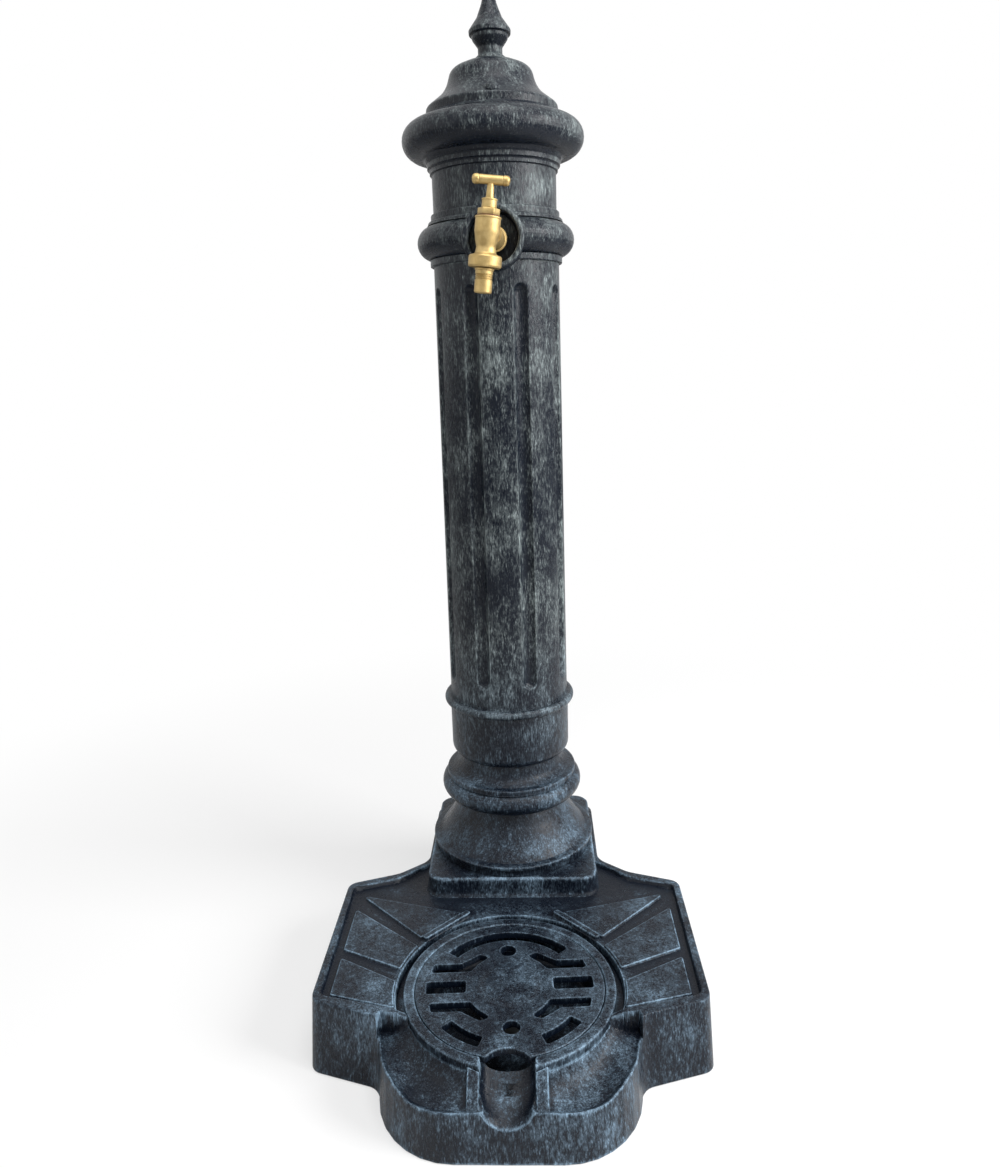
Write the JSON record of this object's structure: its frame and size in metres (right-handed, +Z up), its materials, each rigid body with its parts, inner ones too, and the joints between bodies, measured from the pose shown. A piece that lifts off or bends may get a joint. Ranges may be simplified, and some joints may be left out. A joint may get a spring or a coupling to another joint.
{
  "type": "garden standpipe",
  "caption": "Cast garden standpipe: fluted column on a bell pedestal and square plinth, capped head with finial, brass tap, drip tray with lift-out drain grate and overflow lip.",
  "frame": {"origin": "middle of the tray's outline at ground level", "axes": "+Z up, -Y to the front of the tray, +X to the right as seen from the front"},
  "size_m": [0.419, 0.516, 1.1015],
  "materials": {
    "painted_iron": "blue-black paint, dry-brushed silver grey, satin",
    "brass": "satin, lightly brushed",
    "steel": "zinc plated",
    "rubber": "matt",
    "fibre": "pressed red fibre, matt"
  },
  "bodies": {
    "standpipe": {"base_casting": "painted_iron", "sump_bowl": "painted_iron", "waste_body": "steel", "waste_gasket": "rubber", "waste_nut": "steel", "waste_strainer": "steel", "pedestal": "painted_iron", "fluted_shaft": "painted_iron", "head_casting": "painted_iron", "dome_lid": "painted_iron", "finial": "painted_iron", "finial_washer": "rubber", "tie_rod": "steel", "anchor_bar": "steel", "rod_washer": "steel", "rod_nut": "steel", "riser_pipe": "steel", "inlet_socket": "brass", "pipe_clips": "rubber", "riser_nut": "brass", "tap_elbow": "brass", "elbow_locknut": "brass", "inlet_washer": "fibre", "tap_body": "brass", "bonnet_washer": "fibre", "bonnet": "brass", "gland_packing": "fibre", "gland_nut": "brass", "union_nut": "brass", "hose_washer": "rubber", "hose_tail": "brass"},
    "valve": {"jumper_valve": "brass", "valve_washer": "rubber", "valve_nut": "brass"},
    "handle": {"spindle": "brass", "tee_handle": "brass"},
    "grate": {"drain_grate": "painted_iron"}
  },
  "joints": [
    {"name": "valve_lift", "type": "slide", "parent": "standpipe", "child": "valve", "axis": [0.1132, 0, 0.9936], "range_m": [0, 0.004]},
    {"name": "handle_turn", "type": "hinge", "parent": "valve", "child": "handle", "pos_m": [-0.004, 0.018, 0.8325], "axis": [0.1132, 0, 0.9936], "range_deg": [0, 550]},
    {"name": "grate_lift", "type": "slide", "parent": "standpipe", "child": "grate", "axis": [0, 0, 1], "range_m": [0, 0.12]}
  ],
  "couplings": [
    {"joint": "handle_turn", "follows": "valve_lift", "rad_per_m": 2356.2}
  ]
}
